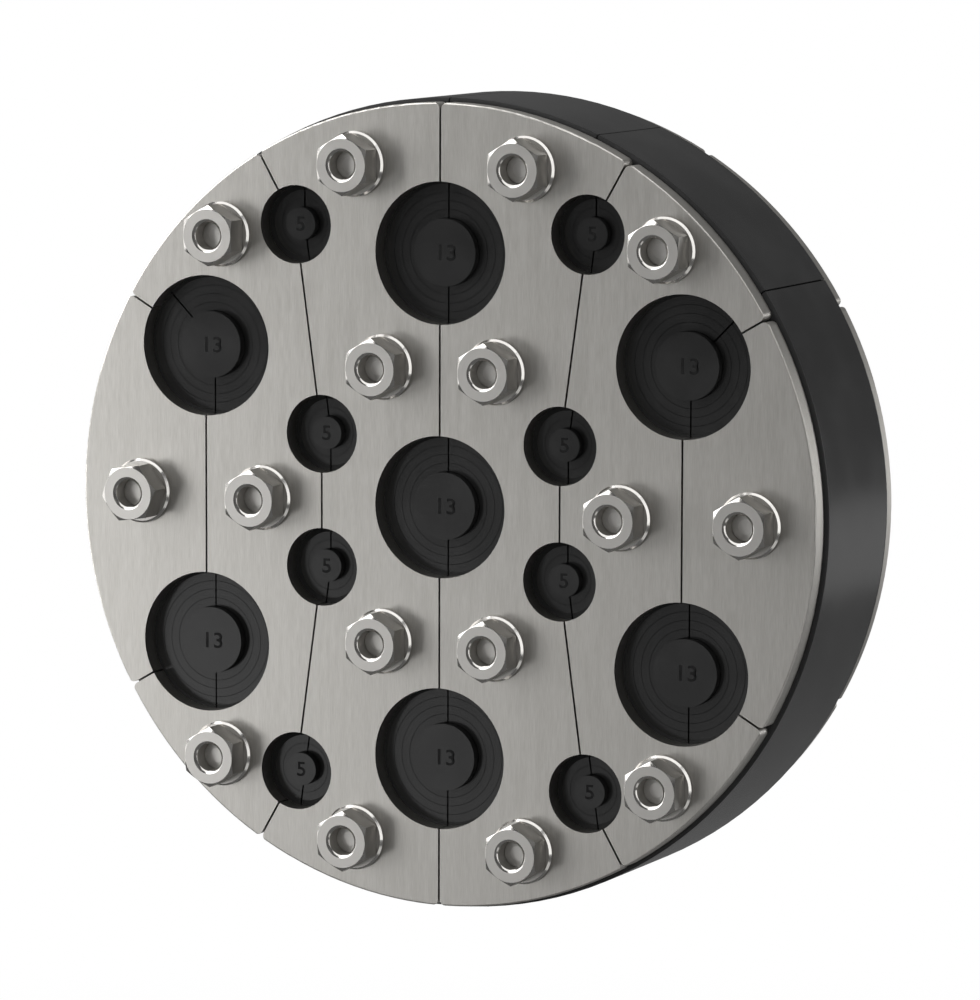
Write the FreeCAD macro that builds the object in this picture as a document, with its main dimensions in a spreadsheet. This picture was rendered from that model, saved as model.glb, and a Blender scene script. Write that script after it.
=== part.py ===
# Round split press seal: it closes the gap between a wall opening and the cables that pass through it.
# Axis along Y, front faces -Y, Z up. The origin is the middle of the rubber body, on its axis.
import FreeCAD, Part
import Sketcher
import math
import os

doc = FreeCAD.newDocument("press_seal")
vector = FreeCAD.Vector

# Driving dimensions, in millimetres
sizes = doc.addObject("Spreadsheet::Sheet", "Sizes")
driving = [
    ("rubber_radius", 99.0, "radius of the rubber body, which fills the wall opening"),
    ("rubber_width", 40.0, "length of the rubber body along its axis"),
    ("rubber_edge", 1.0, "rounding of the rubber's two rim edges"),
    ("slit_width", 0.4, "width of the cuts that let a cable be laid in from the side"),
    ("slit_run_out", 3.0, "how far each cut runs on past the lowest hole of its column"),
    ("outer_slit_tilt", 45.0, "tilt from upright of the cut between an outer hole and the rim, in degrees"),
    ("plate_inset", 1.0, "how far the rims of the pressure plates stand back from the rubber's"),
    ("plate_thickness", 5.0, "thickness of the pressure plates"),
    ("plate_seam", 0.5, "gap between two neighbouring plates"),
    ("plate_corner", 1.5, "rounding of the plate corners at the rim"),
    ("plate_edge", 0.4, "rounding of the plates' outer rim edge"),
    ("large_hole_edge", 0.75, "how much wider a large plate hole is than the rubber's bore, in radius"),
    ("small_hole_edge", 1.4, "how much wider a small plate hole is than the rubber's bore, in radius"),
    ("column_hole_rim", 18.95, "plate between the rim and the large holes above and below the centre"),
    ("outer_hole_rim", 7.0, "plate between the rim and the large outer holes"),
    ("outer_hole_angle", 30.0, "large outer holes, angle from level in degrees"),
    ("small_outer_rim", 10.5, "plate between the rim and the small outer holes"),
    ("small_outer_angle", 60.0, "small outer holes, angle from level in degrees"),
    ("small_inner_x", 31.9, "small inner holes, distance from the upright centre line"),
    ("small_inner_z", 16.4, "small inner holes, distance from the level centre line"),
    ("large_plug_radius", 8.2, "radius of the blind plug in a large hole"),
    ("small_plug_radius", 4.0, "radius of the blind plug in a small hole"),
    ("plug_projection", 2.4, "how far a plug stands out of the rubber's front"),
    ("ring_thickness", 2.1, "one peel-off ring and the gap round it, measured along the radius"),
    ("ring_gap", 0.1, "play between a ring and what it sits in"),
    ("large_ring_count", 4, "rings round a large plug"),
    ("small_ring_count", 2, "rings round a small plug"),
    ("bolt_radius", 4.0, "shank radius of the clamping bolts"),
    ("bolt_core_radius", 3.23, "core radius of the bolt's thread"),
    ("bolt_thread_length", 22.0, "threaded length of the bolt"),
    ("bolt_end_recess", 4.5, "how deep the bolt's end lies inside the nut before it is tightened"),
    ("bolt_point", 0.6, "chamfer at the bolt's end"),
    ("bolt_clearance", 0.5, "play round the bolt in plates and rubber"),
    ("head_flats", 13.0, "width across flats of the bolt head"),
    ("head_height", 5.3, "height of the bolt head"),
    ("nut_flats", 13.0, "width across flats of the nut"),
    ("nut_height", 6.5, "height of the nut"),
    ("hex_chamfer_inset", 0.4, "inset of the round end face of a nut or bolt head from its flats"),
    ("hex_chamfer_angle", 30.0, "slope of the chamfer round a nut or bolt head, in degrees"),
    ("thread_clearance", 0.09, "play between the bolt's core and the nut's bore"),
    ("nut_countersink", 0.7, "width and depth of the countersink in the nut's bore"),
    ("washer_overhang", 1.5, "how far the washers reach out past the nut's flats"),
    ("washer_thickness", 1.6, "thickness of the washers"),
    ("washer_clearance", 0.2, "play round the bolt in the washers"),
    ("washer_chamfer", 0.5, "chamfer of the washers' outer edge"),
    ("rim_bolt_inset", 16.5, "bolts of the outer plates, distance in from the rim"),
    ("waist_bolt_x", 48.0, "level bolts of the middle plates, distance from the upright centre line"),
    ("shoulder_bolt_inset", 10.45, "outer bolts of the middle plates, distance in from the rim"),
    ("shoulder_bolt_angle", 47.45, "outer bolts of the middle plates, angle from level in degrees"),
    ("crown_bolt_inset", 12.25, "outer bolts of the centre plates, distance in from the rim"),
    ("crown_bolt_angle", 74.65, "outer bolts of the centre plates, angle from level in degrees"),
    ("heart_bolt_x", 15.0, "inner bolts of the centre plates, distance from the upright centre line"),
    ("heart_bolt_drop", 28.1, "inner bolts of the centre plates, distance in from the hole at the rim"),
    ("left_nut_turn", 22.0, "turn of the left rim nut from corner-up, in degrees"),
]
# Dimensions that follow from the driving ones
radius_of = "%s_plug_radius + %s_ring_count * ring_thickness + %s_hole_edge"
following = [
    ("plate_radius", "rubber_radius - plate_inset", "rim radius of the pressure plates"),
    ("large_plate_hole_radius", radius_of % (3 * ("large",)), "radius of the large cable holes in the plates"),
    ("small_plate_hole_radius", radius_of % (3 * ("small",)), "radius of the small cable holes in the plates"),
    ("washer_radius", "nut_flats / 2 + washer_overhang", "outer radius of the washers"),
    ("column_hole_pitch", "plate_radius - column_hole_rim - large_plate_hole_radius",
     "distance from the centre hole to the holes above and below it"),
    ("outer_hole_reach", "plate_radius - outer_hole_rim - large_plate_hole_radius",
     "distance of the large outer holes from the axis"),
    ("small_outer_reach", "plate_radius - small_outer_rim - small_plate_hole_radius",
     "distance of the small outer holes from the axis"),
    ("rim_bolt_x", "plate_radius - rim_bolt_inset", "bolts of the outer plates, across"),
    ("heart_bolt_z", "column_hole_pitch - heart_bolt_drop", "inner bolts of the centre plates, up"),
]
for group, reach in (
    ("outer_hole", "outer_hole_reach"),
    ("small_outer", "small_outer_reach"),
    ("shoulder_bolt", "(plate_radius - shoulder_bolt_inset)"),
    ("crown_bolt", "(plate_radius - crown_bolt_inset)"),
):
    following.append((group + "_x", "%s * cos(1 deg * %s_angle)" % (reach, group), "%s, across" % group))
    following.append((group + "_z", "%s * sin(1 deg * %s_angle)" % (reach, group), "%s, up" % group))
table = driving + [(alias, "=" + formula, note) for alias, formula, note in following]
for row, (alias, value, note) in enumerate(table, start=1):
    sizes.set("A%d" % row, alias)
    sizes.set("B%d" % row, str(value))
    sizes.set("C%d" % row, note)
    sizes.setAlias("B%d" % row, alias)
doc.recompute()


def size(alias):
    """A dimension of the sheet as a number, for first positions and for counting."""
    return float(getattr(sizes, alias))


def cell(alias):
    """The name of a dimension as an expression writes it."""
    return "Sizes." + alias


# Places, each as a pair of expressions for X and Z
front_face = "(Sizes.rubber_width / 2)"
plate_face = "(Sizes.rubber_width / 2 + Sizes.plate_thickness)"
washer_face = "(Sizes.rubber_width / 2 + Sizes.plate_thickness + Sizes.washer_thickness)"
bolt_hole = "Sizes.bolt_radius + Sizes.bolt_clearance"


class Place:
    """A point of the seal's face: one dimension and a sign for X, and the same for Z."""

    def __init__(self, x_alias, x_sign, z_alias, z_sign):
        self.x_alias, self.x_sign = x_alias, x_sign
        self.z_alias, self.z_sign = z_alias, z_sign

    def x(self):
        return self.x_sign * size(self.x_alias) if self.x_sign else 0.0

    def z(self):
        return self.z_sign * size(self.z_alias) if self.z_sign else 0.0

    def x_text(self):
        return "%d * %s" % (self.x_sign, cell(self.x_alias)) if self.x_sign else "0"

    def z_text(self):
        return "%d * %s" % (self.z_sign, cell(self.z_alias)) if self.z_sign else "0"


def column_place(z_sign):
    return Place("column_hole_pitch", 0, "column_hole_pitch", z_sign)


sides = {"left": -1, "right": 1}
heights = {"upper": 1, "lower": -1}

large_holes = {"top": column_place(1), "centre": column_place(0), "bottom": column_place(-1)}
small_holes = {}
bolt_places = []
for side_name, side in sides.items():
    bolt_places.append(Place("rim_bolt_x", side, "rim_bolt_x", 0))
    bolt_places.append(Place("waist_bolt_x", side, "waist_bolt_x", 0))
    for height_name, height in heights.items():
        corner = height_name + "_" + side_name
        large_holes[corner] = Place("outer_hole_x", side, "outer_hole_z", height)
        small_holes["outer_" + corner] = Place("small_outer_x", side, "small_outer_z", height)
        small_holes["inner_" + corner] = Place("small_inner_x", side, "small_inner_z", height)
        bolt_places.append(Place("shoulder_bolt_x", side, "shoulder_bolt_z", height))
        bolt_places.append(Place("heart_bolt_x", side, "heart_bolt_z", height))
        bolt_places.append(Place("crown_bolt_x", side, "crown_bolt_z", height))


# Helpers for bodies and sketches
def new_body(name):
    return doc.addObject("PartDesign::Body", name)


def plane_of(body, role):
    return next(item for item in body.Origin.OriginFeatures if item.Role == role)


def new_sketch(body, name, role="XZ_Plane"):
    """A sketch on one of the body's own planes. On the XZ plane, sketch X is X and sketch Y is Z."""
    sketch = body.newObject("Sketcher::SketchObject", name)
    sketch.AttachmentSupport = [(plane_of(body, role), "")]
    sketch.MapMode = "FlatFace"
    return sketch


def constrain(sketch, name, expression, *arguments):
    """Adds one named dimension to a sketch and binds it to an expression."""
    index = sketch.addConstraint(Sketcher.Constraint(*arguments))
    sketch.renameConstraint(index, name)
    sketch.setExpression("Constraints." + name, expression)


def locate(sketch, name, geometry, position, place):
    """Holds a point of a sketch at a place of the seal's face."""
    axes = (("DistanceX", place.x_sign, place.x_alias, -2), ("DistanceY", place.z_sign, place.z_alias, -1))
    for kind, sign, alias, axis in axes:
        if sign == 0:
            sketch.addConstraint(Sketcher.Constraint("PointOnObject", geometry, position, axis))
            continue
        ends = (-1, 1, geometry, position) if sign > 0 else (geometry, position, -1, 1)
        constrain(sketch, name + "_" + kind, cell(alias), kind, *ends, size(alias))


def add_circles(sketch, places, radius_text, radius, name="bore"):
    """Circles of one radius, one at each place."""
    for number, place in enumerate(places):
        centre = vector(place.x(), place.z(), 0)
        circle = sketch.addGeometry(Part.Circle(centre, vector(0, 0, 1), radius), False)
        constrain(sketch, "%s_radius_%d" % (name, number), radius_text, "Radius", circle, radius)
        locate(sketch, "%s_centre_%d" % (name, number), circle, 3, place)


def cut_through(body, sketch, name):
    """Pockets a sketch right through the body on both sides of its plane."""
    pocket = body.newObject("PartDesign::Pocket", name)
    pocket.Profile = sketch
    pocket.Type = "ThroughAll"
    pocket.Midplane = True
    sketch.Visibility = False
    return pocket


def polygon(sketch, points):
    """A closed run of lines through the points, each joined to the next."""
    first = sketch.GeometryCount
    count = len(points)
    for number in range(count):
        start, end = points[number], points[(number + 1) % count]
        sketch.addGeometry(Part.LineSegment(vector(*start, 0), vector(*end, 0)), False)
    for number in range(count):
        follower = first + (number + 1) % count
        sketch.addConstraint(Sketcher.Constraint("Coincident", first + number, 2, follower, 1))
    return first


def pin_points(sketch, name, first, texts, points):
    """Binds the corners of a polygon, each to an expression for its two distances from the origin."""
    for number, ((x_text, y_text), (x_value, y_value)) in enumerate(zip(texts, points)):
        for kind, text, value, axis in (("DistanceX", x_text, x_value, -2), ("DistanceY", y_text, y_value, -1)):
            if text == "0":
                sketch.addConstraint(Sketcher.Constraint("PointOnObject", first + number, 1, axis))
                continue
            ends = (-1, 1, first + number, 1) if value > 0 else (first + number, 1, -1, 1)
            label = "%s_%d_%s" % (name, number, kind)
            constrain(sketch, label, "abs(%s)" % text, kind, *ends, abs(value))


def evaluate(text):
    """The present value of an expression of dimensions."""
    probe = sizes.evalExpression(text.replace("Sizes.", ""))
    return float(getattr(probe, "Value", probe))


def profile(sketch, name, texts):
    """A closed polygon whose corners are given as expressions."""
    points = [(evaluate(x_text), evaluate(y_text)) for x_text, y_text in texts]
    first = polygon(sketch, points)
    pin_points(sketch, name, first, texts, points)


def revolve(body, sketch, kind, name):
    """Turns a sketch of the XY plane once round the Y axis, as a solid or as a cut."""
    feature = body.newObject("PartDesign::" + kind, name)
    feature.Profile = sketch
    feature.ReferenceAxis = (sketch, ["V_Axis"])
    feature.Angle = 360.0
    sketch.Visibility = False
    return feature


def edges_where(feature, test):
    return ["Edge%d" % number for number, edge in enumerate(feature.Shape.Edges, start=1) if test(edge)]


# Rubber body: a round block with rounded rims, bored for the rings and the bolts
def bore_text(kind):
    """Radius of the rubber's bore: the plug and all its rings."""
    return "Sizes.%s_plug_radius + Sizes.%s_ring_count * Sizes.ring_thickness" % (kind, kind)


rubber_block = new_body("rubber_block")
outline = new_sketch(rubber_block, "rubber_outline")
add_circles(outline, [column_place(0)], cell("rubber_radius"), size("rubber_radius"))
block_pad = rubber_block.newObject("PartDesign::Pad", "rubber_pad")
block_pad.Profile = outline
block_pad.Midplane = True
block_pad.setExpression("Length", cell("rubber_width"))
doc.recompute()
rim_rounding = rubber_block.newObject("PartDesign::Fillet", "rubber_rim_rounding")
rim_rounding.Base = (block_pad, edges_where(block_pad, lambda edge: edge.Curve.TypeId == "Part::GeomCircle"))
rim_rounding.setExpression("Radius", cell("rubber_edge"))
doc.recompute()
for bore_name, places, radius_text in (
    ("large_bores", large_holes.values(), bore_text("large")),
    ("small_bores", small_holes.values(), bore_text("small")),
    ("bolt_bores", bolt_places, bolt_hole),
):
    bore_sketch = new_sketch(rubber_block, bore_name + "_sketch")
    add_circles(bore_sketch, list(places), radius_text, evaluate(radius_text))
    cut_through(rubber_block, bore_sketch, bore_name)
doc.recompute()


# Cuts: thin blades that open every column of holes to the upper rim, and end below its lowest hole
def blade(name, place, tilt_text, length_text):
    """A thin upright box from a place of the face, tilted from Z about the Y axis."""
    box = doc.addObject("Part::Box", name)
    tilt = evaluate(tilt_text)
    box.Placement = FreeCAD.Placement(vector(), FreeCAD.Rotation(vector(0, 1, 0), tilt))
    box.setExpression("Length", cell("slit_width"))
    box.setExpression("Width", "2 * Sizes.rubber_width")
    box.setExpression("Height", length_text)
    half = "Sizes.slit_width / 2"
    box.setExpression("Placement.Base.x", "%s - %s * cos(%s)" % (place.x_text(), half, tilt_text))
    box.setExpression("Placement.Base.y", "-1 * Sizes.rubber_width")
    box.setExpression("Placement.Base.z", "%s + %s * sin(%s)" % (place.z_text(), half, tilt_text))
    if tilt:
        box.setExpression("Placement.Rotation.Angle", tilt_text)
    return box


run_out = "Sizes.slit_run_out"
large_reach = "(%s + %s)" % (bore_text("large"), run_out)
small_reach = "(%s + %s)" % (bore_text("small"), run_out)
to_rim = "2 * Sizes.rubber_radius"
lean_x = "(Sizes.small_outer_x - Sizes.small_inner_x)"
lean_z = "(Sizes.small_outer_z - Sizes.small_inner_z)"
lean_angle = "atan(%s / %s)" % (lean_x, lean_z)
lean_length = "sqrt(%s ^ 2 + %s ^ 2)" % (lean_x, lean_z)
level = "0 deg"
blades = [
    blade("centre_cut_up", large_holes["centre"], level, to_rim),
    blade("centre_cut_down", large_holes["bottom"], level, cell("column_hole_pitch")),
    blade("bottom_cut", large_holes["bottom"], "180 deg", large_reach),
]
for side_name, side in sides.items():
    outer_upper, outer_lower = large_holes["upper_" + side_name], large_holes["lower_" + side_name]
    small_top, small_bottom = small_holes["outer_upper_" + side_name], small_holes["outer_lower_" + side_name]
    inner_top, inner_bottom = small_holes["inner_upper_" + side_name], small_holes["inner_lower_" + side_name]
    slant = "%d * %s" % (side, lean_angle)
    fall = "180 deg - %d * %s" % (side, lean_angle)
    outer_tilt = "%d * 1 deg * Sizes.outer_slit_tilt" % side
    blades.append(blade("outer_cut_up_" + side_name, outer_upper, outer_tilt, to_rim))
    blades.append(blade("outer_cut_" + side_name, outer_lower, level, "2 * Sizes.outer_hole_z"))
    blades.append(blade("outer_cut_down_" + side_name, outer_lower, "180 deg", large_reach))
    blades.append(blade("small_cut_up_" + side_name, small_top, level, to_rim))
    blades.append(blade("small_cut_upper_" + side_name, inner_top, slant, lean_length))
    blades.append(blade("small_cut_" + side_name, inner_bottom, level, "2 * Sizes.small_inner_z"))
    blades.append(blade("small_cut_lower_" + side_name, inner_bottom, fall, lean_length + " + " + small_reach))
slits = doc.addObject("Part::MultiFuse", "slits")
slits.Shapes = blades
rubber_body = doc.addObject("Part::Cut", "rubber_body")
rubber_body.Base = rubber_block
rubber_body.Tool = slits
doc.recompute()
pieces = [rubber_body]


# Peel-off rings, cut in two by the same slits, and the blind plug that they close on
def tube(name, place, inner_text, outer_text):
    """A ring of rubber as long as the body, from one radius to another."""
    walls = []
    for wall_name, radius_text in (("outside", outer_text), ("inside", inner_text)):
        wall = doc.addObject("Part::Cylinder", name + "_" + wall_name)
        turn_to_face(wall, place, front_face)
        wall.setExpression("Radius", radius_text)
        wall.setExpression("Height", cell("rubber_width"))
        walls.append(wall)
    ring = doc.addObject("Part::Cut", name)
    ring.Base, ring.Tool = walls
    return ring


def turn_to_face(item, place, depth_text):
    """Lays an upright primitive along the Y axis, from the front at -depth towards the back."""
    item.Placement = FreeCAD.Placement(vector(), FreeCAD.Rotation(vector(1, 0, 0), -90))
    item.setExpression("Placement.Base.x", place.x_text())
    item.setExpression("Placement.Base.y", "-1 * " + depth_text)
    item.setExpression("Placement.Base.z", place.z_text())


for kind, holes in (("large", large_holes), ("small", small_holes)):
    plug_text = "Sizes.%s_plug_radius" % kind
    for hole_name, place in holes.items():
        plug = doc.addObject("Part::Cylinder", "%s_plug_%s" % (kind, hole_name))
        turn_to_face(plug, place, "(Sizes.rubber_width / 2 + Sizes.plug_projection)")
        plug.setExpression("Radius", plug_text)
        plug.setExpression("Height", "Sizes.rubber_width + Sizes.plug_projection")
        layers = []
        for layer in range(int(size(kind + "_ring_count"))):
            inner_text = "%s + %d * Sizes.ring_thickness + Sizes.ring_gap" % (plug_text, layer)
            outer_text = "%s + %d * Sizes.ring_thickness" % (plug_text, layer + 1)
            layers.append(tube("%s_ring_%s_%d" % (kind, hole_name, layer + 1), place, inner_text, outer_text))
        stack = doc.addObject("Part::Compound", "%s_ring_stack_%s" % (kind, hole_name))
        stack.Links = layers
        rings = doc.addObject("Part::Cut", "%s_rings_%s" % (kind, hole_name))
        rings.Base = stack
        rings.Tool = slits
        pieces += [plug, rings]
doc.recompute()


# Pressure plates: the right-hand plates of the front, whose seams run from hole to hole
def offset_run(places, outward):
    """Corners of a seam's edge, half a gap beside the line through the places, from rim to rim."""
    half = size("plate_seam") / 2 * outward
    spots = [vector(place.x(), place.z(), 0) for place in places]
    lines = [spots[0] * -1] + [spots[k + 1] - spots[k] for k in range(len(spots) - 1)] + [spots[-1]]
    normals = [vector(-line.y, line.x, 0).normalize() for line in lines]
    reach = math.sqrt(size("plate_radius") ** 2 - half ** 2)
    corners = [normals[0] * half + vector(spots[0]).normalize() * reach]
    for spot, before, after in zip(spots, normals, normals[1:]):
        corners.append(spot + (before + after) * (half / (1 + before.dot(after))))
    corners.append(normals[-1] * half + vector(spots[-1]).normalize() * reach)
    return corners


def add_seam(sketch, name, places, outward):
    """A plate's edge along a seam: lines half a gap beside a construction line from hole to hole."""
    guides = []
    spots = [vector(0, 0, 0)] + [vector(place.x(), place.z(), 0) for place in places] + [vector(0, 0, 0)]
    for start, end in zip(spots, spots[1:]):
        guides.append(sketch.addGeometry(Part.LineSegment(start, end), True))
    sketch.addConstraint(Sketcher.Constraint("Coincident", guides[0], 1, -1, 1))
    sketch.addConstraint(Sketcher.Constraint("Coincident", guides[-1], 2, -1, 1))
    for number, place in enumerate(places):
        sketch.addConstraint(Sketcher.Constraint("Coincident", guides[number], 2, guides[number + 1], 1))
        locate(sketch, "%s_hole_%d" % (name, number), guides[number], 2, place)
    corners = offset_run(places, outward)
    edges = [sketch.addGeometry(Part.LineSegment(a, b), False) for a, b in zip(corners, corners[1:])]
    for before, after in zip(edges, edges[1:]):
        sketch.addConstraint(Sketcher.Constraint("Coincident", before, 2, after, 1))
    ends = [(edges[0], 1, guides[0])]
    for edge, guide, after in zip(edges, guides, guides[1:]):
        ends += [(edge, 2, guide), (edge, 2, after)]
    ends.append((edges[-1], 2, guides[-1]))
    half = size("plate_seam") / 2
    for number, (edge, position, guide) in enumerate(ends):
        label = "%s_gap_%d" % (name, number)
        constrain(sketch, label, "Sizes.plate_seam / 2", "Distance", edge, position, guide, half)
    return (edges[0], 1), (edges[-1], 2)


def add_straight_seam(sketch):
    """The centre plate's edge along the upright centre line."""
    half, radius = size("plate_seam") / 2, size("plate_radius")
    reach = math.sqrt(radius ** 2 - half ** 2)
    edge = sketch.addGeometry(Part.LineSegment(vector(half, reach, 0), vector(half, -reach, 0)), False)
    sketch.addConstraint(Sketcher.Constraint("Vertical", edge))
    constrain(sketch, "centre_gap", "Sizes.plate_seam / 2", "DistanceX", -1, 1, edge, 1, half)
    return (edge, 1), (edge, 2)


def add_rim(sketch, name, start, end):
    """The rim's arc between two ends of seam edges, counter-clockwise."""
    radius = size("plate_radius")
    points = [sketch.getPoint(*corner) for corner in (start, end)]
    angles = [math.atan2(point.y, point.x) for point in points]
    circle = Part.Circle(vector(0, 0, 0), vector(0, 0, 1), radius)
    arc = sketch.addGeometry(Part.ArcOfCircle(circle, *angles), False)
    sketch.addConstraint(Sketcher.Constraint("Coincident", arc, 3, -1, 1))
    sketch.addConstraint(Sketcher.Constraint("Coincident", arc, 1, *start))
    sketch.addConstraint(Sketcher.Constraint("Coincident", arc, 2, *end))
    constrain(sketch, name, cell("plate_radius"), "Radius", arc, radius)


def round_rim_edge(body):
    """Turns a quarter round off the plate's outer rim edge."""
    sketch = new_sketch(body, body.Name + "_rim_profile", "XY_Plane")
    inner, outer = "Sizes.plate_radius - Sizes.plate_edge", "Sizes.plate_radius + Sizes.plate_edge"
    face, deep = "-1 * Sizes.plate_thickness", "Sizes.plate_edge - Sizes.plate_thickness"
    beyond = "-1 * Sizes.plate_thickness - Sizes.plate_edge"
    texts = [(inner, face), (inner, beyond), (outer, beyond), (outer, deep), ("Sizes.plate_radius", deep)]
    points = [(evaluate(x_text), evaluate(y_text)) for x_text, y_text in texts]
    corners = [vector(x, y, 0) for x, y in points]
    for start, end in zip(corners, corners[1:]):
        sketch.addGeometry(Part.LineSegment(start, end), False)
    for number in range(len(corners) - 2):
        sketch.addConstraint(Sketcher.Constraint("Coincident", number, 2, number + 1, 1))
    pin_points(sketch, "rim", 0, texts[:-1], points[:-1])
    last = len(corners) - 2
    sketch.addConstraint(Sketcher.Constraint("Horizontal", last))
    constrain(sketch, "rim_end", cell("plate_radius"), "DistanceX", -1, 1, last, 2, points[-1][0])
    centre = vector(points[0][0], points[-1][1], 0)
    circle = Part.Circle(centre, vector(0, 0, 1), size("plate_edge"))
    arc = sketch.addGeometry(Part.ArcOfCircle(circle, -math.pi / 2, 0), False)
    sketch.addConstraint(Sketcher.Constraint("Coincident", arc, 1, 0, 1))
    sketch.addConstraint(Sketcher.Constraint("Coincident", arc, 2, last, 2))
    constrain(sketch, "rim_round", cell("plate_edge"), "Radius", arc, size("plate_edge"))
    return revolve(body, sketch, "Groove", body.Name + "_rim_edge")


def plate(name, draw, large, small, bolts):
    """A pressure plate from its outline, rounded at the rim and bored for cables and bolts."""
    body = new_body(name)
    sketch = new_sketch(body, name + "_outline")
    draw(sketch)
    pad = body.newObject("PartDesign::Pad", name + "_pad")
    pad.Profile = sketch
    pad.setExpression("Length", cell("plate_thickness"))
    doc.recompute()
    rim = size("plate_radius") - size("plate_seam")

    def at_rim(edge):
        middle = edge.CenterOfMass
        straight = edge.Curve.TypeId == "Part::GeomLine" and abs(edge.tangentAt(edge.FirstParameter).y) > 0.5
        return straight and math.hypot(middle.x, middle.z) > rim

    corners = body.newObject("PartDesign::Fillet", name + "_corners")
    corners.Base = (pad, edges_where(pad, at_rim))
    corners.setExpression("Radius", cell("plate_corner"))
    doc.recompute()
    round_rim_edge(body)
    cable_sketch = new_sketch(body, name + "_cable_holes_sketch")
    for kind, holes in (("large", large), ("small", small)):
        radius = "Sizes.%s_plate_hole_radius" % kind
        add_circles(cable_sketch, holes, radius, evaluate(radius), kind)
    cut_through(body, cable_sketch, name + "_cable_holes")
    bolt_sketch = new_sketch(body, name + "_bolt_holes_sketch")
    add_circles(bolt_sketch, bolts, bolt_hole, evaluate(bolt_hole), "bolt")
    cut_through(body, bolt_sketch, name + "_bolt_holes")
    body.setExpression("Placement.Base.y", "-1 * " + front_face)
    return body


def mirrored(name, source, normal):
    """The same piece on the other side of the seal's middle."""
    twin = doc.addObject("Part::Mirroring", name)
    twin.Source = source
    twin.Base = vector(0, 0, 0)
    twin.Normal = normal
    return twin


inner_run = [small_holes[key + "_right"] for key in ("outer_upper", "inner_upper", "inner_lower", "outer_lower")]
outer_run = [large_holes["upper_right"], large_holes["lower_right"]]


def draw_centre(sketch):
    top, bottom = add_straight_seam(sketch)
    rim_top, rim_bottom = add_seam(sketch, "small", inner_run, -1)
    add_rim(sketch, "rim_top", rim_top, top)
    add_rim(sketch, "rim_bottom", bottom, rim_bottom)


def draw_middle(sketch):
    top, bottom = add_seam(sketch, "small", inner_run, 1)
    rim_top, rim_bottom = add_seam(sketch, "large", outer_run, -1)
    add_rim(sketch, "rim_top", rim_top, top)
    add_rim(sketch, "rim_bottom", bottom, rim_bottom)


def draw_outer(sketch):
    top, bottom = add_seam(sketch, "large", outer_run, 1)
    add_rim(sketch, "rim", bottom, top)


column = [large_holes[key] for key in ("top", "centre", "bottom")]
right_bolts = {}
for place in bolt_places:
    if place.x_sign > 0:
        right_bolts.setdefault(place.x_alias, []).append(place)
plates = {
    "centre": (draw_centre, column, inner_run, right_bolts["heart_bolt_x"] + right_bolts["crown_bolt_x"]),
    "middle": (draw_middle, outer_run, inner_run, right_bolts["shoulder_bolt_x"] + right_bolts["waist_bolt_x"]),
    "outer": (draw_outer, outer_run, [], right_bolts["rim_bolt_x"]),
}
for kind, (draw, large, small, bolts) in plates.items():
    front_right = plate("front_plate_%s_right" % kind, draw, large, small, bolts)
    front_left = mirrored("front_plate_%s_left" % kind, front_right, vector(1, 0, 0))
    rear_right = mirrored("rear_plate_%s_right" % kind, front_right, vector(0, 1, 0))
    rear_left = mirrored("rear_plate_%s_left" % kind, front_left, vector(0, 1, 0))
    pieces += [front_right, front_left, rear_right, rear_left]
doc.recompute()


# Fasteners: one nut, washer and bolt, each then set at every bolt hole
def hexagon(sketch, flats_text):
    """A hexagon with a corner up, of the given width across flats."""
    flats = evaluate(flats_text)
    radius = flats / math.sqrt(3)
    angles = [math.radians(30 + 60 * corner) for corner in range(6)]
    polygon(sketch, [(radius * math.cos(angle), radius * math.sin(angle)) for angle in angles])
    guide = sketch.addGeometry(Part.Circle(vector(0, 0, 0), vector(0, 0, 1), radius), True)
    sketch.addConstraint(Sketcher.Constraint("Coincident", guide, 3, -1, 1))
    constrain(sketch, "corner_radius", flats_text + " / sqrt(3)", "Radius", guide, radius)
    for number in range(6):
        sketch.addConstraint(Sketcher.Constraint("PointOnObject", number, 1, guide))
    for number in range(1, 6):
        sketch.addConstraint(Sketcher.Constraint("Equal", 0, number))
    sketch.addConstraint(Sketcher.Constraint("Vertical", 5))


def hex_prism(body, flats_text, height_text, towards_back):
    sketch = new_sketch(body, body.Name + "_hexagon")
    hexagon(sketch, flats_text)
    pad = body.newObject("PartDesign::Pad", body.Name + "_prism")
    pad.Profile = sketch
    pad.Reversed = towards_back
    pad.setExpression("Length", height_text)
    doc.recompute()


def corner_chamfer(sketch, name, flats_text, face_text, inward):
    """Profile that turns a hexagon's corners off at one of its end faces."""
    start = "(%s / 2 - Sizes.hex_chamfer_inset)" % flats_text
    beyond = "(%s / sqrt(3) + Sizes.hex_chamfer_inset)" % flats_text
    past_face = "%s - %d * Sizes.hex_chamfer_inset" % (face_text, inward)
    slope = "%s + %d * (%s - %s) * tan(1 deg * Sizes.hex_chamfer_angle)" % (face_text, inward, beyond, start)
    profile(sketch, name, [(start, face_text), (start, past_face), (beyond, past_face), (beyond, slope)])


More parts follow.
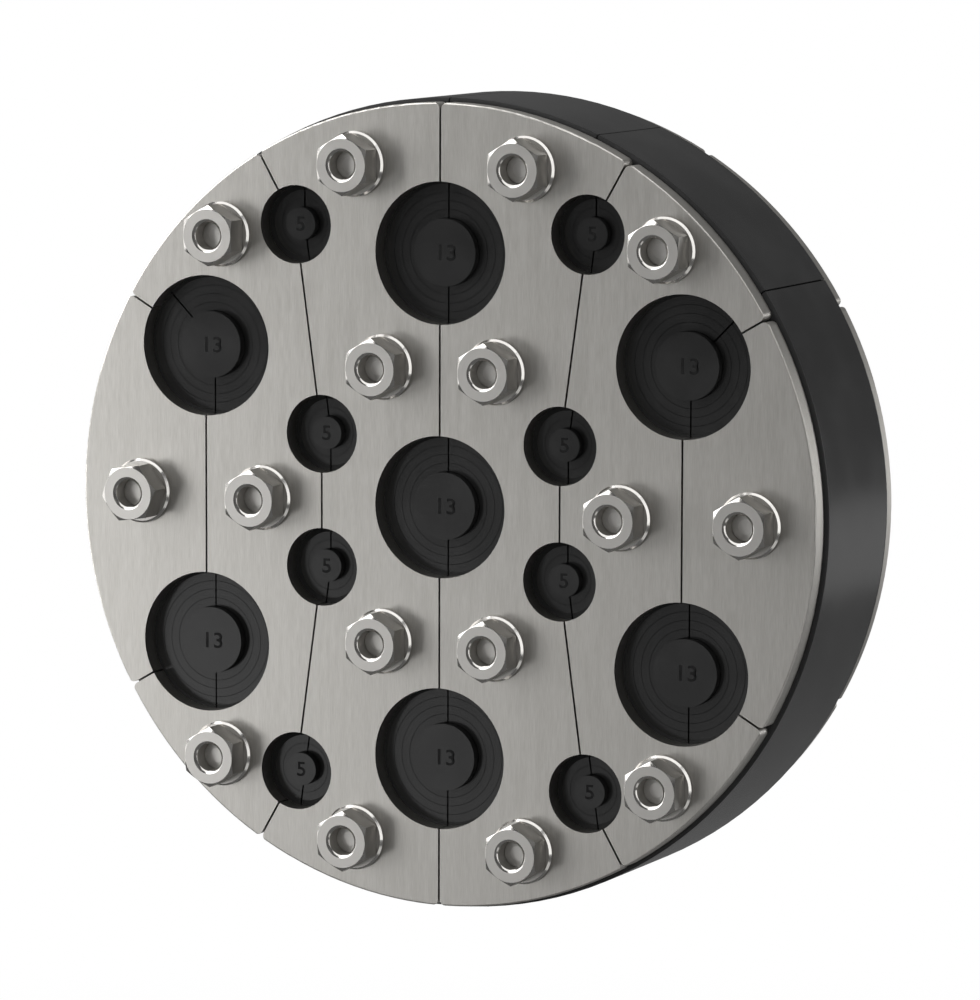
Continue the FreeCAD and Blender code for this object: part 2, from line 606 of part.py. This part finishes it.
nut = new_body("nut")
hex_prism(nut, cell("nut_flats"), cell("nut_height"), False)
nut_face = "-1 * Sizes.nut_height"
nut_corners = new_sketch(nut, "nut_corners", "XY_Plane")
corner_chamfer(nut_corners, "front", cell("nut_flats"), nut_face, 1)
corner_chamfer(nut_corners, "back", cell("nut_flats"), "0", -1)
revolve(nut, nut_corners, "Groove", "nut_corner_chamfers")
nut_bore = "(Sizes.bolt_core_radius + Sizes.thread_clearance)"
nut_mouth = "%s + Sizes.nut_countersink" % nut_bore
nut_bore_sketch = new_sketch(nut, "nut_bore_profile", "XY_Plane")
profile(nut_bore_sketch, "bore", [
    ("0", nut_face),
    (nut_mouth, nut_face),
    (nut_bore, nut_face + " + Sizes.nut_countersink"),
    (nut_bore, "-1 * Sizes.nut_countersink"),
    (nut_mouth, "0"),
    ("0", "0"),
])
revolve(nut, nut_bore_sketch, "Groove", "nut_bore")

washer = new_body("washer")
washer_sketch = new_sketch(washer, "washer_profile", "XY_Plane")
washer_bore = "Sizes.bolt_radius + Sizes.washer_clearance"
profile(washer_sketch, "washer", [
    (washer_bore, "0"),
    (cell("washer_radius"), "0"),
    (cell("washer_radius"), "Sizes.washer_chamfer - Sizes.washer_thickness"),
    ("Sizes.washer_radius - Sizes.washer_chamfer", "-1 * Sizes.washer_thickness"),
    (washer_bore, "-1 * Sizes.washer_thickness"),
])
revolve(washer, washer_sketch, "Revolution", "washer_ring")

bolt = new_body("bolt")
hex_prism(bolt, cell("head_flats"), cell("head_height"), True)
head_corners = new_sketch(bolt, "head_corners", "XY_Plane")
corner_chamfer(head_corners, "head", cell("head_flats"), cell("head_height"), -1)
revolve(bolt, head_corners, "Groove", "head_corner_chamfer")
bolt_length = "(%s + %s + Sizes.nut_height - Sizes.bolt_end_recess)" % (washer_face, washer_face)
thread_start = "(Sizes.bolt_thread_length - %s)" % bolt_length
shank_sketch = new_sketch(bolt, "shank_profile", "XY_Plane")
profile(shank_sketch, "shank", [
    ("0", "0"),
    (cell("bolt_radius"), "0"),
    (cell("bolt_radius"), thread_start),
    (cell("bolt_core_radius"), thread_start + " + Sizes.bolt_core_radius - Sizes.bolt_radius"),
    (cell("bolt_core_radius"), "Sizes.bolt_point - " + bolt_length),
    ("Sizes.bolt_core_radius - Sizes.bolt_point", "-1 * " + bolt_length),
    ("0", "-1 * " + bolt_length),
])
revolve(bolt, shank_sketch, "Revolution", "shank")
doc.recompute()


def fastener_set(name, source, depth_text, about, turn_of):
    """A copy of a fastener at every bolt hole, at one depth along the axis."""
    copies = []
    for number, place in enumerate(bolt_places, start=1):
        copy = doc.addObject("App::Link", "%s_%d" % (name, number))
        copy.LinkedObject = source
        copy.Placement = FreeCAD.Placement(vector(), FreeCAD.Rotation(about, turn_of(place)))
        copy.setExpression("Placement.Base.x", place.x_text())
        copy.setExpression("Placement.Base.y", depth_text)
        copy.setExpression("Placement.Base.z", place.z_text())
        copies.append(copy)
    group = doc.addObject("Part::Compound", name)
    group.Links = copies
    return group


def nut_turn(place):
    """Only the left rim nut has come to rest turned."""
    return size("left_nut_turn") if place.x_alias == "rim_bolt_x" and place.x_sign < 0 else 0.0


along, upright = vector(0, 1, 0), vector(0, 0, 1)
pieces += [
    fastener_set("front_washers", washer, "-1 * " + plate_face, along, lambda place: 0.0),
    fastener_set("rear_washers", washer, plate_face, upright, lambda place: 180.0),
    fastener_set("hex_nuts", nut, "-1 * " + washer_face, along, nut_turn),
    fastener_set("hex_bolts", bolt, washer_face, along, lambda place: 0.0),
]
doc.recompute()

# Every object has to be sound before anything is written
for item in doc.Objects:
    if "Invalid" in item.State or "Error" in item.State:
        raise RuntimeError("%s failed to compute" % item.Name)
for piece in pieces:
    if piece.Shape.isNull() or not piece.Shape.isValid() or not piece.Shape.Solids:
        raise RuntimeError("%s has no sound shape" % piece.Name)

os.makedirs("parts", exist_ok=True)
for piece in pieces:
    piece.Label = piece.Name
    piece.Shape.exportStep(os.path.join("parts", piece.Label + ".step"))
    print("%-34s solids %3d  volume %10.1f" % (piece.Label, len(piece.Shape.Solids), piece.Shape.Volume))
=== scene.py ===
import bpy
import math
from mathutils import Matrix, Vector


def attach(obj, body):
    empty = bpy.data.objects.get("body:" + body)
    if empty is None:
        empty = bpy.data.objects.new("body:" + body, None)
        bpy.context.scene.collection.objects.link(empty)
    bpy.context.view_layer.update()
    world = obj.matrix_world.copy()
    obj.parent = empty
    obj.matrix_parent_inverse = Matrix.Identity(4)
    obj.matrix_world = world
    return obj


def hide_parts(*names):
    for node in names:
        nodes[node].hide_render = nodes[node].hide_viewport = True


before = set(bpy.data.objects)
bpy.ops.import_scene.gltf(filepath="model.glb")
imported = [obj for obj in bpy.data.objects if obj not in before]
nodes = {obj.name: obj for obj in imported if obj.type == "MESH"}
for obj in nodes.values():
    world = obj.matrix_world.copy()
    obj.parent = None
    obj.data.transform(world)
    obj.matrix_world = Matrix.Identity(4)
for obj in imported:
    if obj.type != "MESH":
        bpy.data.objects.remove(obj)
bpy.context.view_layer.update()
scene = bpy.context.scene
print("frame loaded,", len(nodes), "CAD nodes")


# camera: places in metres, angles in degrees
view = {
    "place": (0.5861, -1.2607, 0.1644),
    "yaw": 24.863,
    "pitch": 6.779,
    "roll": 0.163,
    "lens": 204.55,
    "farthest": 60,
}


def turn(degrees, axis):
    return Matrix.Rotation(math.radians(degrees), 4, axis)


def addCamera(values):
    data = bpy.data.cameras.new("photoCamera")
    data.lens = values["lens"]
    data.clip_end = values["farthest"]
    camera = bpy.data.objects.new("photoCamera", data)
    scene.collection.objects.link(camera)
    aim = turn(values["yaw"], "Z") @ turn(90 - values["pitch"], "X") @ turn(values["roll"], "Z")
    camera.matrix_world = Matrix.Translation(values["place"]) @ aim
    scene.camera = camera


addCamera(view)
scene.view_settings.view_transform = "Standard"
print("camera placed")


# shader maths: a wire stands for a node's output, and sums on wires add Math nodes
class Wire:
    def __init__(self, shader, socket):
        self.shader, self.socket = shader, socket

    def join(self, operation, first, second):
        return self.shader.add("ShaderNodeMath", {"operation": operation}, {0: first, 1: second})

    def __add__(self, other):
        return self.join("ADD", self, other)

    def __radd__(self, other):
        return self.join("ADD", other, self)

    def __sub__(self, other):
        return self.join("SUBTRACT", self, other)

    def __rsub__(self, other):
        return self.join("SUBTRACT", other, self)

    def __mul__(self, other):
        return self.join("MULTIPLY", self, other)

    def __rmul__(self, other):
        return self.join("MULTIPLY", other, self)

    def __abs__(self):
        return self.shader.add("ShaderNodeMath", {"operation": "ABSOLUTE"}, {0: self})


class Shader:
    def __init__(self, owner):
        owner.use_nodes = True
        self.tree = owner.node_tree
        self.tree.nodes.clear()

    def add(self, kind, settings=None, inputs=None, output=0):
        node = self.tree.nodes.new(kind)
        for name, value in (settings or {}).items():
            setattr(node, name, value)
        for name, value in (inputs or {}).items():
            if isinstance(value, Wire):
                self.tree.links.new(value.socket, node.inputs[name])
            else:
                node.inputs[name].default_value = value
        return Wire(self, node.outputs[output]) if node.outputs else None

    def coordinate(self, name):
        return self.add("ShaderNodeTexCoord", output=name)

    def blend(self, factor, first, second):  # a Mix node's colours are inputs 6 and 7, output 2
        inputs = {"Factor": factor, 6: first, 7: second}
        return self.add("ShaderNodeMix", {"data_type": "RGBA"}, inputs, 2)

    def smooth(self, value, low, high):
        inputs = {"Value": value, "From Min": low, "From Max": high}
        return self.add("ShaderNodeMapRange", {"interpolation_type": "SMOOTHSTEP"}, inputs)

    def noise(self, place, stretch, detail=2.0, roughness=0.5):
        scaled = self.add("ShaderNodeMapping", {}, {"Vector": place, "Scale": stretch})
        inputs = {"Vector": scaled, "Scale": 1.0, "Detail": detail, "Roughness": roughness}
        return self.add("ShaderNodeTexNoise", {}, inputs)

    def vary(self, noise, spread):  # noise lies around 0.5
        return spread * (noise - 0.5)

    def bump(self, height, strength, distance):
        inputs = {"Height": height, "Strength": strength, "Distance": distance}
        return self.add("ShaderNodeBump", {}, inputs)

    def alongY(self, vector):
        return self.add("ShaderNodeSeparateXYZ", {}, {0: vector}, "Y")

    def length(self, vector):
        return self.add("ShaderNodeVectorMath", {"operation": "LENGTH"}, {0: vector}, "Value")

    def glow(self, kind, strength):
        return self.add(kind, {}, {"Color": grey(1), "Strength": strength})

    def mix(self, factor, first, second):
        return self.add("ShaderNodeMixShader", {}, {0: factor, 1: first, 2: second})

    def surface(self, inputs):
        shaded = self.add("ShaderNodeBsdfPrincipled", {}, inputs)
        self.add("ShaderNodeOutputMaterial", {}, {"Surface": shaded})


def grey(level):
    return (level, level, level, 1)


# how squarely a surface faces along the seal's axis, from 0 on an edge to 1 on a face
def alongAxis(shader):
    return abs(shader.alongY(shader.coordinate("Normal")))


# plates: stainless sheet with an upright brushed grain, rougher on the rounded rim edge
plateLook = {
    "steel": (0.60, 0.585, 0.555, 1),
    "darkLine": (0.50, 0.485, 0.455, 1),
    "lineRange": (0.3, 0.7),
    "fineGrain": {"stretch": (5200, 5200, 240), "detail": 3.0, "roughness": 0.6},
    "broadGrain": {"stretch": (900, 900, 75), "detail": 2.0},
    "fineShare": 0.7,
    "broadShare": 0.3,
    "roughness": 0.30,
    "roughnessSpread": 0.10,
    "rimRoughness": 0.15,
    "rimStart": (0.0966, 0.0974),  # metres from the axis
    "flatFrom": (0.97, 0.998),
    "scratchDepth": 0.000012,
    "scratchStrength": 0.35,
}


def makePlateSteel(look):
    material = bpy.data.materials.new("brushedPlateSteel")
    shader = Shader(material)
    place = shader.coordinate("Object")
    fine = shader.noise(place, **look["fineGrain"])
    broad = shader.noise(place, **look["broadGrain"])
    grain = look["fineShare"] * fine + look["broadShare"] * broad
    fromAxis = {0: place, 1: (1, 0, 1)}
    flattened = shader.add("ShaderNodeVectorMath", {"operation": "MULTIPLY"}, fromAxis)
    atRim = shader.smooth(shader.length(flattened), *look["rimStart"])
    rounded = 1 - shader.smooth(alongAxis(shader), *look["flatFrom"])
    rim = look["rimRoughness"] * rounded * atRim
    lines = shader.smooth(grain, *look["lineRange"])
    shader.surface({
        "Base Color": shader.blend(lines, look["darkLine"], look["steel"]),
        "Metallic": 1.0,
        "Roughness": look["roughness"] + rim + shader.vary(grain, look["roughnessSpread"]),
        "Normal": shader.bump(grain, look["scratchStrength"], look["scratchDepth"]),
    })
    return material


# nuts, bolts and washers: plain stainless with a satin skin, with a painted highlight: the faces
# that look along the axis are painted lighter than the sides, and smoother on the turned-off
# corners
fastenerLook = {
    "steel": (0.505, 0.492, 0.470, 1),
    "worn": (0.465, 0.453, 0.432, 1),
    "wornRange": (0.35, 0.65),
    # painted highlight: the lighter colour of the faces that look along the axis
    "face": (0.595, 0.58, 0.555, 1),
    "faceFrom": (0.90, 0.98),
    "slantFrom": (0.3, 0.5),
    "mottle": {"stretch": (350, 350, 350), "detail": 3.0},
    "skin": {"stretch": (4200, 4200, 4200), "detail": 2.0},
    "roughness": 0.30,
    "roughnessSpread": 0.05,
    "chamferPolish": 0.16,
    "skinDepth": 0.00001,
    "skinStrength": 0.25,
}


def makeFastenerSteel(look):
    material = bpy.data.materials.new("satinFastenerSteel")
    shader = Shader(material)
    place = shader.coordinate("Object")
    mottle = shader.noise(place, **look["mottle"])
    skin = shader.noise(place, **look["skin"])
    along = alongAxis(shader)
    onFace = shader.smooth(along, *look["faceFrom"])
    onSlant = shader.smooth(along, *look["slantFrom"]) * (1 - onFace)
    side = shader.blend(shader.smooth(mottle, *look["wornRange"]), look["worn"], look["steel"])
    polished = look["roughness"] - look["chamferPolish"] * onSlant
    shader.surface({
        # painted highlight: faces that look along the axis take the lighter colour
        "Base Color": shader.blend(onFace, side, look["face"]),
        "Metallic": 1.0,
        "Roughness": polished + shader.vary(mottle, look["roughnessSpread"]),
        "Normal": shader.bump(skin, look["skinStrength"], look["skinDepth"]),
    })
    return material


# rubber: black, smooth from the mould, with a faint bloom; the body is rougher at its two ends
# and painted darker there, a painted shade where it meets the plates
rubberLook = {
    "bodyRubber": {
        "black": 0.012, "bloom": 0.019, "roughness": 0.22, "shadeAndDullEnd": 0.7, "endPaintedShade": 0.001},
    "ringRubber": {
        "black": 0.006, "bloom": 0.011, "roughness": 0.20, "shadeAndDullEnd": 0, "endPaintedShade": 0},
    "plugRubber": {
        "black": 0.006, "bloom": 0.010, "roughness": 0.21, "shadeAndDullEnd": 0, "endPaintedShade": 0},
}
rubberSkin = {
    "cloud": {"stretch": (60, 60, 60), "detail": 4.0, "roughness": 0.55},
    "bloomRange": (0.35, 0.7),
    "roughnessSpread": 0.08,
    "pores": {"stretch": (2600, 2600, 2600), "detail": 2.0},
    "poreDepth": 0.00004,
    "poreStrength": 0.3,
    "endStart": (0.0186, 0.0192),  # metres from the middle, along the axis
}


def makeRubber(name, look, skin):
    material = bpy.data.materials.new(name)
    shader = Shader(material)
    place = shader.coordinate("Object")
    cloud = shader.noise(place, **skin["cloud"])
    pores = shader.noise(place, **skin["pores"])
    bloomed = shader.smooth(cloud, *skin["bloomRange"])
    colour = shader.blend(bloomed, grey(look["black"]), grey(look["bloom"]))
    # painted shade: near each end of the body the colour is darkened as shade where it meets the
    # plates, and the roughness rises there
    endShadedAndDulled = shader.smooth(abs(shader.alongY(place)), *skin["endStart"]) * look["shadeAndDullEnd"]
    shader.surface({
        "Base Color": shader.blend(endShadedAndDulled, colour, grey(look["endPaintedShade"])),
        "Roughness": look["roughness"] + shader.vary(cloud, skin["roughnessSpread"]) + endShadedAndDulled,
        "Normal": shader.bump(pores, skin["poreStrength"], skin["poreDepth"]),
    })
    return material


# bores and bolt ends: the same steel, rougher
boreLook = {
    "dull": (0.50, 0.488, 0.465, 1),
    "bright": (0.58, 0.565, 0.54, 1),
    "brightRange": (0.3, 0.7),
    "cloud": {"stretch": (500, 500, 500), "detail": 3.0},
    "roughness": 0.38,
    "roughnessSpread": 0.10,
}


def makeBoreSteel(look):
    material = bpy.data.materials.new("dullBoreSteel")
    shader = Shader(material)
    cloud = shader.noise(shader.coordinate("Object"), **look["cloud"])
    brighter = shader.smooth(cloud, *look["brightRange"])
    shader.surface({
        "Base Color": shader.blend(brighter, look["dull"], look["bright"]),
        "Metallic": 1.0,
        "Roughness": look["roughness"] + shader.vary(cloud, look["roughnessSpread"]),
    })
    return material


plateSteel = makePlateSteel(plateLook)
fastenerSteel = makeFastenerSteel(fastenerLook)
boreSteel = makeBoreSteel(boreLook)
rubbers = {name: makeRubber(name, look, rubberSkin) for name, look in rubberLook.items()}


def finish(name):
    if "_plate_" in name:
        return plateSteel
    if "_plug_" in name:
        return rubbers["plugRubber"]
    if "_rings_" in name:
        return rubbers["ringRubber"]
    if name == "rubber_body":
        return rubbers["bodyRubber"]
    return fastenerSteel


for name, node in nodes.items():
    node.data.materials.clear()
    node.data.materials.append(finish(name))
print("finishes given to the CAD nodes")


# all places that mirror those of the upper right quarter, in metres
def mirrored(quarter):
    sides = [(x, z) for x in (-1, 1) for z in (-1, 1)]
    return sorted({(x * across, z * upward) for x, z in quarter for across, upward in sides})


boltQuarter = [(0.0815, 0), (0.048, 0), (0.015, 0.0336), (0.0592, 0.0645), (0.0227, 0.0827)]
boltPlaces = mirrored(boltQuarter)


def deselectAll():
    bpy.ops.object.select_all(action="DESELECT")


def selectOnly(piece):
    deselectAll()
    piece.select_set(True)
    bpy.context.view_layer.objects.active = piece


def applyModifier(piece, kind, settings):
    bpy.context.view_layer.objects.active = piece
    modifier = piece.modifiers.new(kind.lower(), kind)
    for name, value in settings.items():
        setattr(modifier, name, value)
    bpy.ops.object.modifier_apply(modifier=modifier.name)


# one copy of the pattern for each move, joined to one piece
def spread(pattern, moves, name):
    copies = []
    for move in moves:
        copy = pattern.copy()
        copy.data = pattern.data.copy()
        copy.data.transform(move)
        scene.collection.objects.link(copy)
        copies.append(copy)
    bpy.data.objects.remove(pattern)
    deselectAll()
    for copy in copies:
        copy.select_set(True)
    bpy.context.view_layer.objects.active = copies[0]
    bpy.ops.object.join()
    bpy.context.object.name = name
    return bpy.context.object


def addCone(sides, height, lowRadius, highRadius, middle):
    deselectAll()
    bpy.ops.mesh.primitive_cone_add(
        vertices=sides, radius1=lowRadius, radius2=highRadius, depth=height,
        location=(0, 0, middle))
    return bpy.context.object


def cutWith(piece, tool, operation):
    applyModifier(piece, "BOOLEAN", {"operation": operation, "solver": "EXACT", "object": tool})
    bpy.data.objects.remove(tool)


# joins points closer than the gap and dissolves the slivers that booleans and fonts leave
def tidyMesh(piece, gap, flatAngle):
    selectOnly(piece)
    bpy.ops.object.mode_set(mode="EDIT")
    bpy.ops.mesh.select_all(action="SELECT")
    bpy.ops.mesh.remove_doubles(threshold=gap)
    bpy.ops.mesh.dissolve_limited(angle_limit=math.radians(flatAngle))
    bpy.ops.object.mode_set(mode="OBJECT")


# nuts: hexagons whose corners are turned off, with a bore countersunk in three slopes;
# lengths in metres, angles in degrees
nutLook = {
    "flats": 0.013,
    "height": 0.0065,
    "backFace": -0.0266,
    "turnedFace": 0.00645,  # radius where the turned-off corners meet the face
    "cornerSlope": 30,
    "bore": 0.00342,
    "sinkRings": ((0.00068, 30), (0.000625, 37.5), (0.000533, 45)),  # width and slope
    "sides": 96,
    "leftRim": -0.08,  # the nut left of this is turned
    "leftRimTurn": 22,
    "past": 0.0003,  # how far a cutting cone stands out of the nut
    "gap": 0.000003,
    "flatAngle": 0.5,
    "smoothAngle": 8,
    "boreWall": 0.5,
    "smoothNormals": (0.05, 0.999),  # between the flats and the faces
}


def shapeNut(values):
    sides, height, bore = values["sides"], values["height"], values["bore"]
    past = values["past"]
    deselectAll()
    corner = values["flats"] / math.sqrt(3)
    bpy.ops.mesh.primitive_cylinder_add(vertices=6, radius=corner, depth=height)
    nut = bpy.context.object
    run = 1 / math.tan(math.radians(values["cornerSlope"]))
    wide = values["turnedFace"] + (height + past) * run
    narrow = values["turnedFace"] - past * run
    tall = height + 2 * past
    cutWith(nut, addCone(sides, tall, wide, narrow, 0), "INTERSECT")
    cutWith(nut, addCone(sides, tall, narrow, wide, 0), "INTERSECT")
    cutWith(nut, addCone(sides, tall, bore, bore, 0), "DIFFERENCE")
    for width, slope in values["sinkRings"]:
        fall = math.tan(math.radians(slope))
        mouth = width * fall + past
        wide = bore + mouth / fall
        middle = height / 2 + past - mouth / 2
        cutWith(nut, addCone(sides, mouth, bore, wide, middle), "DIFFERENCE")
        cutWith(nut, addCone(sides, mouth, wide, bore, -middle), "DIFFERENCE")
    tidyMesh(nut, values["gap"], values["flatAngle"])
    return nut


def makeNut(values):
    nut = shapeNut(values)
    nut.data.materials.append(fastenerSteel)
    nut.data.materials.append(boreSteel)
    for face in nut.data.polygons:
        upright = abs(face.normal.z) < values["boreWall"]
        inBore = upright and math.hypot(face.center.x, face.center.y) < values["bore"]
        face.material_index = int(inBore)
    nut.data.transform(turn(90, "X"))
    selectOnly(nut)
    bpy.ops.object.shade_smooth_by_angle(angle=math.radians(values["smoothAngle"]))
    low, high = values["smoothNormals"]
    for face in nut.data.polygons:
        face.use_smooth = low < abs(face.normal.y) < high
    return nut


def placeNuts(values):
    depth = values["backFace"] - values["height"] / 2
    moves = []
    for x, z in boltPlaces:
        angle = values["leftRimTurn"] if x < values["leftRim"] else 0
        moves.append(Matrix.Translation((x, depth, z)) @ turn(angle, "Y"))
    nuts = spread(makeNut(values), moves, "hexNuts")
    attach(nuts, "root")
    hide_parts("hex_nuts")


placeNuts(nutLook)
print("nuts ready")


# bolt ends: turned faces with a fine edge and a shallow dish, just proud of the bolts
# inside the nuts
boltEndLook = {
    "radius": 0.00338,
    "length": 0.0012,
    "face": -0.02863,
    "edge": 0.00008,
    "edgeSegments": 2,
    "dishInset": 0.0012,
    "dishDepth": 0.00006,
    "sides": 64,
    "faceNormal": 0.99,
    "smoothAngle": 8,
}


def makeBoltEnd(values):
    deselectAll()
    bpy.ops.mesh.primitive_cylinder_add(
        vertices=values["sides"], radius=values["radius"], depth=values["length"])
    end = bpy.context.object
    applyModifier(end, "BEVEL", {
        "width": values["edge"], "segments": values["edgeSegments"], "limit_method": "ANGLE"})
    bpy.ops.object.mode_set(mode="EDIT")
    bpy.ops.mesh.select_all(action="DESELECT")
    bpy.ops.object.mode_set(mode="OBJECT")
    for face in end.data.polygons:
        face.select = face.normal.z > values["faceNormal"]
    bpy.ops.object.mode_set(mode="EDIT")
    bpy.ops.mesh.select_mode(type="FACE")
    bpy.ops.mesh.inset(thickness=values["dishInset"], depth=0)
    bpy.ops.mesh.inset(thickness=values["dishInset"] / 2, depth=-values["dishDepth"])
    bpy.ops.object.mode_set(mode="OBJECT")
    end.data.transform(turn(90, "X"))
    end.data.materials.append(boreSteel)
    bpy.ops.object.shade_smooth_by_angle(angle=math.radians(values["smoothAngle"]))
    return end


def placeBoltEnds(values):
    depth = values["face"] + values["length"] / 2
    moves = [Matrix.Translation((x, depth, z)) for x, z in boltPlaces]
    ends = spread(makeBoltEnd(values), moves, "boltEnds")
    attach(ends, "root")


placeBoltEnds(boltEndLook)
print("bolt ends ready")


# size numbers on the plugs: lengths in metres, places in the upper right quarter
numberLook = {
    "13": {
        "wide": 0.0046, "tall": 0.0039, "aside": 0.0007,
        "quarter": [(0, 0.0617), (0, 0), (0.063783, 0.036825)],
    },
    "5": {
        "wide": 0.0023, "tall": 0.0036, "aside": 0.0,
        "quarter": [(0.03895, 0.067463), (0.0319, 0.0164)],
    },
}
numberRelief = {
    "plugFace": -0.0224,
    "raised": 0.00004,
    "textDepth": 0.5,  # before the text is scaled
    "boldness": 0.012,
    "gap": 0.001,
    "flatAngle": 0.5,
}
numberRubber = {
    "black": 0.003,
    "worn": 0.008,
    "wear": {"stretch": (900, 900, 900), "detail": 3.0},
    "wearRange": (0.35, 0.7),
    "roughness": 0.6,
    "roughnessSpread": 0.2,
    "shine": 0.12,
}


def makeNumberRubber(look):
    material = bpy.data.materials.new("numberRubber")
    shader = Shader(material)
    wear = shader.noise(shader.coordinate("Object"), **look["wear"])
    worn = shader.smooth(wear, *look["wearRange"])
    shader.surface({
        "Base Color": shader.blend(worn, grey(look["black"]), grey(look["worn"])),
        "Roughness": look["roughness"] + shader.vary(wear, look["roughnessSpread"]),
        "Specular IOR Level": look["shine"],
    })
    return material


def makeNumber(text, values, relief):
    deselectAll()
    bpy.ops.object.text_add()
    number = bpy.context.object
    number.data.body = text
    number.data.align_x = "CENTER"
    number.data.align_y = "CENTER"
    number.data.extrude = relief["textDepth"]
    number.data.offset = relief["boldness"]
    bpy.ops.object.convert(target="MESH")
    tidyMesh(number, relief["gap"], relief["flatAngle"])
    low, high = Vector(number.bound_box[0]), Vector(number.bound_box[6])  # opposite corners
    across, upward = values["wide"] / (high.x - low.x), values["tall"] / (high.y - low.y)
    shrink = Matrix.Diagonal((across, upward, relief["raised"], 1))
    number.data.transform(turn(90, "X") @ shrink @ Matrix.Translation(-(low + high) / 2))
    return number


def placeNumbers(text, values, relief, material):
    pattern = makeNumber(text, values, relief)
    pattern.data.materials.append(material)
    aside, depth = values["aside"], relief["plugFace"]
    moves = [Matrix.Translation((x + aside, depth, z)) for x, z in mirrored(values["quarter"])]
    numbers = spread(pattern, moves, "plugNumbers" + text)
    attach(numbers, "root")


numberMaterial = makeNumberRubber(numberRubber)
for text, values in numberLook.items():
    placeNumbers(text, values, numberRelief, numberMaterial)
print("size numbers ready")


# stage: a pale round floor well below, and a white room; both are dimmer where metal mirrors them
stageLook = {
    "floorHeight": -0.6,
    "floorRadius": 4.9,
    "floorSides": 96,
    "floorColour": grey(0.8),
    "floorLift": 0.35,
    "floorInMetal": 0.18,
    "openFloor": (1.2, 2.4),  # metres from the middle, where the floor fades to white
    "white": 1.0,
    "roomAmbient": 0.35,
    "roomInMetal": 0.13,
}


def raysOf(shader):
    straight, through, glossy = (
        shader.add("ShaderNodeLightPath", output=ray)
        for ray in ("Is Camera Ray", "Is Transmission Ray", "Is Glossy Ray"))
    return straight + through, glossy


def makeFloor(look):
    deselectAll()
    bpy.ops.mesh.primitive_circle_add(
        vertices=look["floorSides"], radius=look["floorRadius"], fill_type="NGON",
        location=(0, 0, look["floorHeight"]))
    floor = bpy.context.object
    floor.name = "paleFloor"
    material = bpy.data.materials.new("paleFloor")
    shader = Shader(material)
    seen, inMetal = raysOf(shader)
    openPart = shader.smooth(shader.length(shader.coordinate("Object")), *look["openFloor"])
    lit = shader.add("ShaderNodeBsdfDiffuse", {}, {"Color": look["floorColour"]})
    lift = shader.glow("ShaderNodeEmission", seen * look["floorLift"])
    white = shader.glow("ShaderNodeEmission", look["white"])
    dim = shader.glow("ShaderNodeEmission", look["floorInMetal"])
    near = shader.add("ShaderNodeAddShader", {}, {0: lit, 1: lift})
    direct = shader.mix(openPart * seen, near, white)
    shader.add("ShaderNodeOutputMaterial", {}, {"Surface": shader.mix(inMetal, direct, dim)})
    floor.data.materials.append(material)


def makeRoom(look):
    world = bpy.data.worlds.new("whiteRoom")
    scene.world = world
    shader = Shader(world)
    seen, inMetal = raysOf(shader)
    ambient = shader.glow("ShaderNodeBackground", look["roomAmbient"])
    dim = shader.glow("ShaderNodeBackground", look["roomInMetal"])
    white = shader.glow("ShaderNodeBackground", look["white"])
    unseen = shader.mix(inMetal, ambient, dim)
    shader.add("ShaderNodeOutputWorld", {}, {"Surface": shader.mix(seen, unseen, white)})


makeFloor(stageLook)
makeRoom(stageLook)


# lamps: soft boxes that look at the middle; azimuth from the front towards +X and height angle
# in degrees, distance and size in metres
lamps = {
    "keyBox": {
        "azimuth": -57, "height": 24, "distance": 1.6, "size": (1.2, 2.2), "level": 4.3},
    "leftBox": {
        "azimuth": -96, "height": 4, "distance": 1.5, "size": (0.8, 1.2), "level": 1.8},
    "topBox": {
        "azimuth": 0, "height": 82, "distance": 1.5, "size": (2.0, 1.4), "level": 1.8},
    "sideBox": {
        "azimuth": 70, "height": 16, "distance": 1.6, "size": (0.7, 2.3), "level": 1.75},
    "lowBox": {
        "azimuth": 74, "height": -48, "distance": 0.75, "size": (0.5, 0.4), "level": 0.7},
    "edgeBox": {
        "azimuth": 131, "height": 2, "distance": 1.6, "size": (0.45, 0.45), "level": 6.3},
    "frontBox": {
        "azimuth": 5, "height": 14, "distance": 2.2, "size": (2.1, 1.8), "level": 0.15},
    "lowKeyBox": {
        "azimuth": -33, "height": -12, "distance": 1.6, "size": (0.40, 0.30), "level": 1.3},
    "lowRightBox": {
        "azimuth": -20, "height": -12.5, "distance": 1.6, "size": (0.22, 0.22), "level": 0.4},
    "backBox": {
        "azimuth": 156, "height": -9.5, "distance": 1.5, "size": (0.8, 0.28), "level": 0.33},
}


def addLamp(name, values):
    azimuth, height = math.radians(values["azimuth"]), math.radians(values["height"])
    flat = math.cos(height)
    towards = Vector((math.sin(azimuth) * flat, -math.cos(azimuth) * flat, math.sin(height)))
    data = bpy.data.lights.new(name, "AREA")
    data.shape = "RECTANGLE"
    data.size, data.size_y = values["size"]
    data.energy = values["level"] * math.pi * data.size * data.size_y
    lamp = bpy.data.objects.new(name, data)
    lamp.location = towards * values["distance"]
    lamp.rotation_euler = towards.to_track_quat("Z", "Y").to_euler()
    lamp.visible_camera = False
    scene.collection.objects.link(lamp)


for name, values in lamps.items():
    addLamp(name, values)
print("stage and lamps ready")
